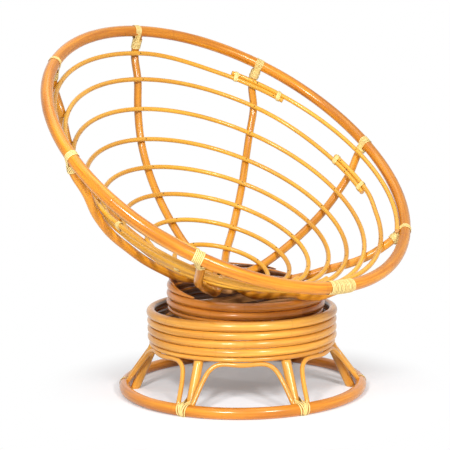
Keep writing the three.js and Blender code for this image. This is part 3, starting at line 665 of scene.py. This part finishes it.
def wedge_pole(number, angle):
    tip, full = wedge_angles[number]
    share = min(max((min(angle, 360 - angle) - tip) / (full - tip), 0), 1)
    return wedge_tip + (wedge_full - wedge_tip) * share


def wedge_height(number, angle):
    under = coils[0][0] + seat_pole if number == 0 else wedge_height(0, angle) + wedge_pole(0, angle)
    return under + clear_gap + wedge_pole(number, angle)


for number, (tip, full) in enumerate(wedge_angles):
    angles = np.linspace(tip, 360 - tip, 120)
    lay_pole(f"wedge_pole_{number + 1}", [seat_circle_point(wedge_height(number, a), a) for a in angles],
             [wedge_pole(number, a) for a in angles], seat_skin, "seat", f"wedge_coil_{number + 1}",
             jointed=False)

# Bowl. Its rings lie at their own tilts, the rim's the steepest, and everything in it is placed on them.
# A ring's angle is counted from the front towards the sitter's left.
rim_low, rim_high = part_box("rim")
rim_centre = (rim_low + rim_high) / 2
rim_pole = 0.0165
rim_radius = rim_high.x - rim_centre.x - rim_pole
rib_pole = 0.012
hoop_pole = 0.007
ring_shares = [
    (-0.0504, 1.2474, 1.0, 38.9), (-0.0655, 1.2056, 0.9457, 35.4), (-0.0963, 1.1130, 0.8741, 34.6),
    (-0.1389, 1.0148, 0.8037, 32.3), (-0.1704, 0.9259, 0.7167, 29.2), (-0.1833, 0.8481, 0.6167, 26.3),
    (-0.1870, 0.7667, 0.5037, 24.3), (-0.1741, 0.6944, 0.3852, 22.0), (-0.1537, 0.6259, 0.2519, 20.5),
    (-0.1390, 0.5590, 0.0704, 18.0)]
bowl_rings = []
for forward, height, radius, tilt in ring_shares:
    centre = rim_centre + rim_radius * Vector((0, ring_shares[0][0] - forward, height - ring_shares[0][1]))
    bowl_rings.append((centre, radius * rim_radius, radians(tilt)))


def ring_point(number, angle):
    """A point of a ring of the bowl: 0 is the rim, 1 to 8 are the hoops and 9 is where the ribs end."""
    centre, radius, tilt = bowl_rings[number]
    downhill = radius * cos(radians(angle))
    return centre + Vector((radius * sin(radians(angle)), -downhill * cos(tilt),
                            -downhill * sin(tilt)))


def ring_way(number, angle):
    return (ring_point(number, angle + 1) - ring_point(number, angle - 1)).normalized()


def wall_way(number, angle):
    """The way up the bowl's wall."""
    return (ring_point(max(number - 1, 0), angle) - ring_point(min(number + 1, 9), angle)).normalized()


def out_of_wall(number, angle):
    """The way out of the bowl through its wall."""
    outward = ring_way(number, angle).cross(wall_way(number, angle)).normalized()
    return outward if outward.dot(ring_point(number, angle) - rim_centre) > 0 else -outward


# Hub. A round timber board under the inner ends of the ribs, which are screwed to it.
# It is sawn from a plank, and its edge is rounded by hand.
hub_thickness = 0.012
hub_slope = bowl_rings[9][2]
hub_depth = rib_pole + clear_gap + hub_thickness
hub_place = bowl_rings[9][0] + Vector((0, hub_depth * sin(hub_slope), -hub_depth * cos(hub_slope)))
hub_frame = Matrix.Translation(hub_place) @ Matrix.Rotation(hub_slope, 4, "X")
hub_profile = [(0, 0), (0.050, 0), (0.0515, 0.0006), (0.052, 0.002), (0.052, hub_thickness - 0.002),
               (0.0515, hub_thickness - 0.0006), (0.050, hub_thickness), (0, hub_thickness)]
turn_profiles("hub_board", [(hub_frame, hub_profile)], seat_timber, "seat", "timber", "rib_hub", sides=64)

# Ribs. Eight thick poles outside the hoops, from the hub up to the rim, where each top is hollowed to fit.
# Below its top a side rib swings a little to the front, and the three front ones pass no first hoop.
rib_names = {0: "front", 45: "front_left", 88.7: "left", 134.6: "back_left", 179: "back", -135: "back_right",
             -90: "right", -45: "front_right"}
rib_swings = {45: 5, 88.7: 6.8, 134.6: 8.1, -135: -8.1, -90: -6.8}
swing_shares = [0, 0, 0.34, 0.55, 0.79, 0.96, 1, 0.84, 0.3, 0]
first_hoop_stop = 46.6
rim_hollow = 0.011
rib_skin = lacquered("rib_rattan", "EEA62E", "D07C14", "863F04", Tones=0.5)


def swung(number, angle):
    """The angle at which a rib crosses a hoop."""
    return angle - rib_swings.get(angle, 0) * swing_shares[number]


def crossed_hoops(angle):
    """The hoops that a rib crosses. The ribs in front of the first one's ends pass only the others."""
    return range(2 if abs(angle) < first_hoop_stop else 1, 9)


def rib_place(number, angle):
    gap = 0.0028 if number == 1 else 0.0013
    spot = swung(number, angle)
    return ring_point(number, spot) + out_of_wall(number, spot) * (hoop_pole + rib_pole + gap)


def rib_line(angle):
    crossings = [rib_place(number, angle) for number in reversed(crossed_hoops(angle))]
    return bend_through([ring_point(9, angle), *crossings, ring_point(0, angle)])


rib_lines = {angle: rib_line(angle) for angle in rib_names}
for angle, name in rib_names.items():
    run = lengths_along(rib_lines[angle])
    kept = rib_lines[angle][run < run[-1] - rim_hollow]
    lay_pole(f"rib_pole_{name}", kept, rib_pole, rib_skin, "seat", f"rib_{name}", sides=20)

# Hoops. Eight thinner poles inside the ribs, nailed to every rib they cross, with lapped ends.
# The top one stops short at the front, and is made of two poles that lap where they cross a back rib.
hoop_skin = lacquered("hoop_rattan", "F4BC42", "E09822", "A0580C", Tones=0.4)
hoop_laps = {
    2: (74.2, 20.3), 3: (-92, 14.5), 4: (4, 14.5), 5: (-76, 16), 6: (8, 18), 7: (-112, 18), 8: (19, 18)}
first_hoop_lap = (122.25, 142.75)
first_hoop_bend = (177, 146)
lap_gap, lap_step = 0.0001, 0.0012


def end_drops(number):
    """How far a hoop's two ends are let down, as shares of a pole's width. The second hoop's share it."""
    return (0.5, -0.5) if number == 2 else (0, 1)


def lapped(number, angle, drop):
    """A place on a hoop, let down beside its other end by a share of the lap."""
    return (ring_point(number, angle) - wall_way(number, angle) * drop * (2 * hoop_pole + lap_gap)
            - out_of_wall(number, angle) * drop * lap_step)


def ease_in(value, start, end):
    share = min(max((value - start) / (end - start), 0), 1)
    return share * share * (3 - 2 * share)


for number, (start, lap) in hoop_laps.items():
    first_drop, last_drop = end_drops(number)
    turns = np.linspace(0, 360 + lap, int(240 * bowl_rings[number][1] / rim_radius) + 60)
    line = [lapped(number, start + t, first_drop * (1 - ease_in(t, lap, 2.8 * lap))
                   + last_drop * ease_in(t, 360 - 0.7 * lap, 360 - 0.05 * lap)) for t in turns]
    lay_pole(f"hoop_pole_{number}", line, hoop_pole, hoop_skin, "seat", f"hoop_{number}", sides=16)

upper = [ring_point(1, angle) for angle in np.linspace(first_hoop_stop - 3.6, first_hoop_lap[1], 90)]
lower = [lapped(1, angle, ease_in(angle, *first_hoop_bend))
         for angle in np.linspace(first_hoop_lap[0], 360 - first_hoop_stop, 160)]
lay_pole("hoop_pole_1", lower, hoop_pole, hoop_skin, "seat", "hoop_1", sides=16)
lay_pole("hoop_pole_1_left", upper, hoop_pole, hoop_skin, "seat", sides=16)

# Rim. One thick rattan pole bent to a ring on the tops of the ribs.
# Its ends meet under the front winding, which hides the joint.
rim_skin = lacquered("rim_rattan", "EA9C26", "CC7610", "864004", Tones=0.5, Streaks=0.8)
lay_pole("rim_pole", [ring_point(0, angle) for angle in range(360)], rim_pole, rim_skin, "seat", "rim",
         closed=True, sides=28)

# Rim lashings. Flat strips of rattan peel pass over the rim and round the rib under it, and tie the two.
# The strips are wound wet and shrink tight as they dry.
peel_width = 0.0038
peel_thickness = 0.0013


def peel_lines():
    """Split rattan peel: straw coloured, with fine lines along it and darker edges."""
    colours = {"Pale": "F8E296", "Tan": "E2BC66", "Dark": "86581E"}
    tree, given = new_effect("peel_lines", colours, {"Edges": 0.9})
    run = put(tree, "SeparateXYZ", {0: put(tree, "UVMap", uv_map="run").outputs[0]})
    strip = put(tree, "CombineXYZ", {0: run.outputs[0], 1: run.outputs[1]}).outputs[0]
    fine = between(tree, noise(tree, strip, (9.0, 30.0, 1.0), 3.0), 0.35, 0.65)
    tones = between(tree, noise(tree, strip, (0.6, 14.0, 1.0), 2.0), 0.35, 0.65)
    off = figure(tree, "ABSOLUTE", figure(tree, "SUBTRACT", run.outputs[0], 0.5))
    edge = times(tree, between(tree, off, 0.24, 0.48), given["Edges"])
    colour = blend_colours(tree, times(tree, fine, 0.5), given["Pale"], given["Tan"])
    colour = blend_colours(tree, times(tree, tones, 0.5), colour, given["Tan"])
    colour = blend_colours(tree, edge, colour, given["Dark"])
    return end_effect(tree, colour, between(tree, fine, 0.0, 1.0, 0.42, 0.58), fine)


peel = finish_of("peel_strip", peel_lines(), {}, bump=0.4, Coat_Weight=0.25, Coat_Roughness=0.25)


def lay_peel(name, runs, body, *nodes, width=peel_width, thickness=peel_thickness):
    """Flat strips of peel along runs of points with the way out of the surface under them.
    Where one passes under the floor ring, the floor presses it flat."""
    chance = random.Random(name)
    section = [(-0.5, -0.5), (-0.5, -0.05), (-0.3, 0.36), (0, 0.5), (0.3, 0.36), (0.5, -0.05), (0.5, -0.5)]
    shares = [0, 0.04, 0.25, 0.5, 0.75, 0.96, 1, 0]
    points, faces, corners = [], [], []
    for run in runs:
        middle = bend_through([p for p, _ in run], 5)
        out = bend_through([n for _, n in run], 5)
        ways = unit(np.gradient(middle, axis=0))
        across = unit(np.cross(ways, out))
        out = np.cross(across, ways)
        lengths = lengths_along(middle) + chance.uniform(0, 20)
        broad = width * chance.uniform(0.9, 1.04)
        more_faces, more_corners = join_rings(len(points), len(middle), shares, lengths)
        faces += more_faces + end_faces(len(points), len(middle), len(section))
        corners += more_corners + [(0.5, lengths[0])] * len(section) + [(0.5, lengths[-1])] * len(section)
        for p, a, o in zip(middle, across, out):
            for x, y in section:
                points.append(p + a * x * broad + o * y * thickness)
    points = np.array(points)
    points[:, 2] = np.maximum(points[:, 2], 0)
    add_piece(name, points, faces, corners, [peel], body, "peel", *nodes)


class RimTie:
    """Where a strip lies on the rim and on the rib under it, at one rib."""

    def __init__(self, angle):
        self.angle = angle
        self.line = rib_lines[angle]
        self.run = lengths_along(self.line)
        self.along = ring_way(0, angle)
        way = Vector(self.line[-1] - self.line[-4]).normalized()
        self.over = (way - self.along * way.dot(self.along)).normalized()
        self.inward = self.over.cross(self.along)
        if self.inward.dot(rim_centre - ring_point(0, angle)) < 0:
            self.inward = -self.inward

    def on_rim(self, offset, turn):
        """Turn 0 is the top of the rim as seen from the rib, and 90 its side towards the bowl."""
        centre = ring_point(0, self.angle + degrees(offset / rim_radius))
        out = self.over * cos(radians(turn)) + self.inward * sin(radians(turn))
        return centre + out * (rim_pole + peel_thickness * 0.5), out

    def on_rib(self, below, turn, layer=0):
        """Below is counted down the rib from the rim's middle. Turn 0 is its side towards the bowl."""
        points, ways = at_lengths(self.line, self.run, np.array([self.run[-1] - below]))
        way = Vector(ways[0])
        side = (self.along - way * self.along.dot(way)).normalized()
        inner = self.inward - way * self.inward.dot(way)
        inner = (inner - side * inner.dot(side)).normalized()
        out = inner * cos(radians(turn)) + side * sin(radians(turn))
        return Vector(points[0]) + out * (rib_pole + peel_thickness * (0.5 + layer)), out

    def pass_over(self, offset, below):
        """Up the rib's inner side, over the rim and down its outer side, gathered to the rib's width."""
        aside = max(-0.95, min(0.95, 0.7 * offset / (rib_pole + peel_thickness)))
        foot = degrees(asin(aside))
        over = [self.on_rim(offset, turn) for turn in range(80, -81, -20)]
        return [self.on_rib(below, foot), *over, self.on_rib(below, 180 - foot)]

    def slant(self, first, last, twist, count, start=0, layer=1):
        """Strips side by side round the rib that slant down it, or one that winds down it in many turns."""
        steps = max(6, int(abs(twist / 360) * 14))
        return [[self.on_rib(first + (last - first) * i / steps,
                             start + 360 * k / count + twist * i / steps, layer)
                 for i in range(steps + 1)] for k in range(count)]


def band(count, middle=0.0, pitch=0.0042):
    return [middle + (i - (count - 1) / 2) * pitch for i in range(count)]


# For each rib its strips over the rim and how far below it they end, and its windings round the rib:
# from and to below the rim, degrees, count, first turn, layer.
strips = {
    "back": [band(5, 0.0145), 0.030, (0.0215, 0.0545, 2700, 1, 40)],
    "back_right": [band(3), 0.030, (0.0225, 0.050, 1980, 1, 60)],
    "back_left": [band(6), 0.030, (0.020, 0.047, 120, 16), (0.0215, 0.044, -110, 6, 0, 2)],
    "left": [band(6), 0.024, (0.0195, 0.0285, 60, 16), (0.0195, 0.0285, -60, 7, 0, 2)],
    "right": [band(4), 0.024, (0.0195, 0.041, 60, 16), (0.038, 0.0435, 432, 1)],
    "front_left": [band(4), 0.028, (0.020, 0.047, 110, 16), (0.022, 0.046, -110, 7, 0, 2)],
    "front_right": [band(6, -0.007), 0.028, (0.020, 0.036, 70, 16), (0.022, 0.034, -60, 6, 0, 2)],
}
rib_angles = {name: angle for angle, name in rib_names.items()}
for name, (offsets, below, *slants) in strips.items():
    tie = RimTie(rib_angles[name])
    runs = [tie.pass_over(offset, below) for offset in offsets]
    runs += [run for slant in slants for run in tie.slant(*slant)]
    lay_peel(f"peel_{name}", runs, "seat", f"lashing_{name}")

# Front winding. A long close winding of peel over the joint of the rim's two ends and the front rib's top.
# It is one strip wound wet round the rim, its turns a little uneven.
winding_angles = (-7.1, 1.75)
winding_turns = 17
winding_width, winding_thickness = 0.0044, 0.0016


def winding_point(share):
    uneven = 0.0032 * sin(31 * share) + 0.0022 * sin(67 * share + 1)
    angle = winding_angles[0] + (winding_angles[1] - winding_angles[0]) * (share + uneven)
    turn = 2 * pi * winding_turns * share
    centre = ring_point(0, angle)
    outward = (centre - rim_centre).normalized()
    out = outward * cos(turn) + ring_way(0, angle).cross(outward) * sin(turn)
    return centre + out * (rim_pole + winding_thickness / 2), out


winding = [winding_point(share) for share in np.linspace(0, 1, 16 * winding_turns + 1)]
lay_peel("peel_front", [winding], "seat", "lashing_front", width=winding_width, thickness=winding_thickness)

# Lap lashings. Where the ends of a hoop lie side by side, narrow strips of peel tie both poles.
# They are wound crosswise, three one way and three the other.
lap_strip_width, lap_strip_thickness = 0.0032, 0.001
lap_strip_pitch, lap_strip_slant = 0.0028, 0.0026
lap_tie_angles = {1: (141.0, 124.3), 2: (93.1, 76.9), 3: (-77.6,), 5: (-57.5,)}


def lap_tie(number, angle):
    """Crossed strips round the two poles of a lap."""
    wall, out, along = wall_way(number, angle), out_of_wall(number, angle), ring_way(number, angle)
    low, high = (lapped(number, angle, drop) for drop in sorted(end_drops(number), reverse=True))
    middle, half = (low + high) / 2, (high - low).length / 2
    runs = []
    for way in (1, -1):
        for start in (-lap_strip_pitch, 0.0, lap_strip_pitch):
            run = []
            for turn in range(0, 361, 20):
                up, aside = cos(radians(turn)), sin(radians(turn))
                skin = hoop_pole + peel_thickness * (0.5 if way > 0 else 1.2)
                slide = start + way * lap_strip_slant * aside
                straight = half * max(-1, min(1, 2.5 * up))
                run.append((middle + wall * (straight + skin * up) + out * skin * aside + along * slide,
                            (wall * up + out * aside).normalized()))
            runs.append(run)
    return runs


for number, angles in lap_tie_angles.items():
    ties = [run for angle in angles for run in lap_tie(number, angle)]
    lay_peel(f"lap_peel_{number}", ties, "seat", width=lap_strip_width, thickness=lap_strip_thickness)

# Leg lashings. The front and back legs are tied to the floor ring with strips of peel that cross outside it.
# At the two side legs a pair of narrow strips goes over the ring alone.
front_spreads, back_spreads = (0.0148, 0.0108, 0.0066, 0.0024), (0.0085, 0.0045)
side_offsets = (-0.003, 0.003)
leg_tie_height, leg_tie_pitch = 0.026, 0.0036
leg_tie_turns, leg_tie_span = range(-88, 86, 19), 173
leg_strip_width, side_strip_width = 0.0042, 0.0032


def on_floor_ring(angle, offset, turn, layer):
    """Turn 0 is the outside of the floor ring, 90 its top and -90 its underside."""
    spot = angle + degrees(offset / floor_ring_radius)
    out = base_outward(spot) * cos(radians(turn))
    out.z = sin(radians(turn))
    centre = base_point(floor_ring_radius, spot, floor_ring_pole)
    return centre + out * (floor_ring_pole + layer * peel_thickness), out


def leg_tie(angle, spreads):
    """Loops from under the floor ring over its outside and top, and round the leg's inner side."""
    outward = base_outward(angle)
    sideways = Vector((0, 0, 1)).cross(outward)
    runs = []
    for loop, spread in enumerate(spreads):
        height = leg_tie_height + leg_tie_pitch * loop
        radius = leg_foot_radius + (leg_top_radius - leg_foot_radius) * height / drum_bottom
        centre = base_point(radius, angle, height)
        under = spread * (-0.3 if loop % 2 else 0.5)
        layer = 0.5 + 0.7 * (loop % 2)
        aside = [under + (spread - under) * (turn - leg_tie_turns[0]) / leg_tie_span
                 for turn in leg_tie_turns]
        rise = [on_floor_ring(angle, -a, turn, layer) for a, turn in zip(aside, leg_tie_turns)]
        fall = [on_floor_ring(angle, a, turn, layer + 0.35) for a, turn in zip(aside, leg_tie_turns)]
        round_leg = []
        for turn in range(90, -91, -20):
            out = -outward * cos(radians(turn)) - sideways * sin(radians(turn))
            round_leg.append((centre + out * (leg_pole + 0.5 * peel_thickness), out))
        runs.append(rise + round_leg + fall[::-1])
    return runs


for number, angle in enumerate(leg_angles, 1):
    if angle in (0, 180):
        width = side_strip_width
        runs = [[on_floor_ring(angle, offset, turn, 0.5) for turn in range(-90, 131, 20)]
                for offset in side_offsets]
    else:
        width = leg_strip_width
        runs = leg_tie(angle, front_spreads if number in (1, 2) else back_spreads)
    lay_peel(f"leg_peel_{number}", runs, "base", width=width)

# Nails. Small dark nails go through the hoops into the ribs, and through the laps of the two top hoops.
# They are driven from inside the bowl, and their heads stand on the hoops.
nail_steel = finish_of("nail_steel", steel, {"Clean": "3B2414", "Worn": "5A3A20"}, Metallic=0.3)
nail_head = [(0.0019, -0.0004), (0.0019, 0.0003), (0.0013, 0.0008), (0, 0.001)]
lap_nails = [(1, 139.4, 0), (1, 133, 0), (1, 126.1, 1), (2, 91.2, -0.5), (2, 86.5, 0.5)]


def nail_at(number, angle, drop):
    inward = -out_of_wall(number, angle)
    return standing(lapped(number, angle, drop) + inward * hoop_pole, inward), nail_head


nails = [nail_at(number, swung(number, angle), 0) for angle in rib_names for number in crossed_hoops(angle)]
nails += [nail_at(*spot) for spot in lap_nails]
turn_profiles("bowl_nails", nails, nail_steel, "seat", "black_steel", sides=10)

# Floor. A pale studio floor that takes the chair's shadow and runs out to white.
# It isn't part of the chair.


def seen_straight(tree):
    """1 for what the camera sees straight or in the gloss, 0 for the light that falls on things."""
    rays = put(tree, "LightPath").outputs
    return figure(tree, "MAXIMUM", rays["Is Camera Ray"], rays["Is Glossy Ray"])


floor_mesh = bpy.data.meshes.new("studio_floor")
floor_mesh.from_pydata([(-60, -60, 0), (60, -60, 0), (60, 60, 0), (-60, 60, 0)], [], [(0, 1, 2, 3)])
floor = new_object("studio_floor", floor_mesh)
paper = bpy.data.materials.new("studio_paper")
paper.use_nodes = True
tree = paper.node_tree
tree.nodes.clear()
place = put(tree, "NewGeometry").outputs["Position"]
away = put(tree, "VectorMath", {0: place, 1: swivel_axis}, operation="DISTANCE").outputs["Value"]
glow = put(tree, "Emission", {"Color": "FFFFFF"}).outputs[0]
sheet = put(tree, "BsdfDiffuse", {"Color": "FAFBFF"}).outputs[0]
share = times(tree, between(tree, away, 0.3, 0.62, 0.22, 1.0), seen_straight(tree))
mixed = put(tree, "MixShader", {0: share, 1: sheet, 2: glow}).outputs[0]
put(tree, "OutputMaterial", {"Surface": mixed})
floor_mesh.materials.append(paper)

# Lights. Two small soft ones stand to the left and right of the camera, and a large one hangs overhead.
# They aren't part of the chair.


def soft_light(name, place, aim, size, power):
    light = bpy.data.lights.new(name, "AREA")
    light.shape = "SQUARE"
    light.size = size
    light.energy = power
    lamp = new_object(name, light)
    turned = (aim - place).to_track_quat("-Z", "Y").to_matrix().to_4x4()
    lamp.matrix_world = Matrix.Translation(place) @ turned


middle = from_viewer(0, 0, 0.4)
soft_light("left_light", from_viewer(-0.75, -2.5, 1.75), middle, 0.45, 60)
soft_light("right_light", from_viewer(1.2, -2.4, 1.7), middle, 0.45, 54)
soft_light("top_light", from_viewer(-0.2, -0.2, 3.0), middle, 2.2, 26)

# World. White to look at and in the gloss, and dimmer as light.
# It stands for the white room round the chair.
world = bpy.data.worlds.new("studio")
bpy.context.scene.world = world
world.use_nodes = True
tree = world.node_tree
background = tree.nodes["Background"]
background.inputs["Color"].default_value = (1, 1, 1, 1)
tree.links.new(between(tree, seen_straight(tree), 0.0, 1.0, 0.19, 1.0), background.inputs["Strength"])
bpy.context.scene.view_settings.view_transform = "Standard"
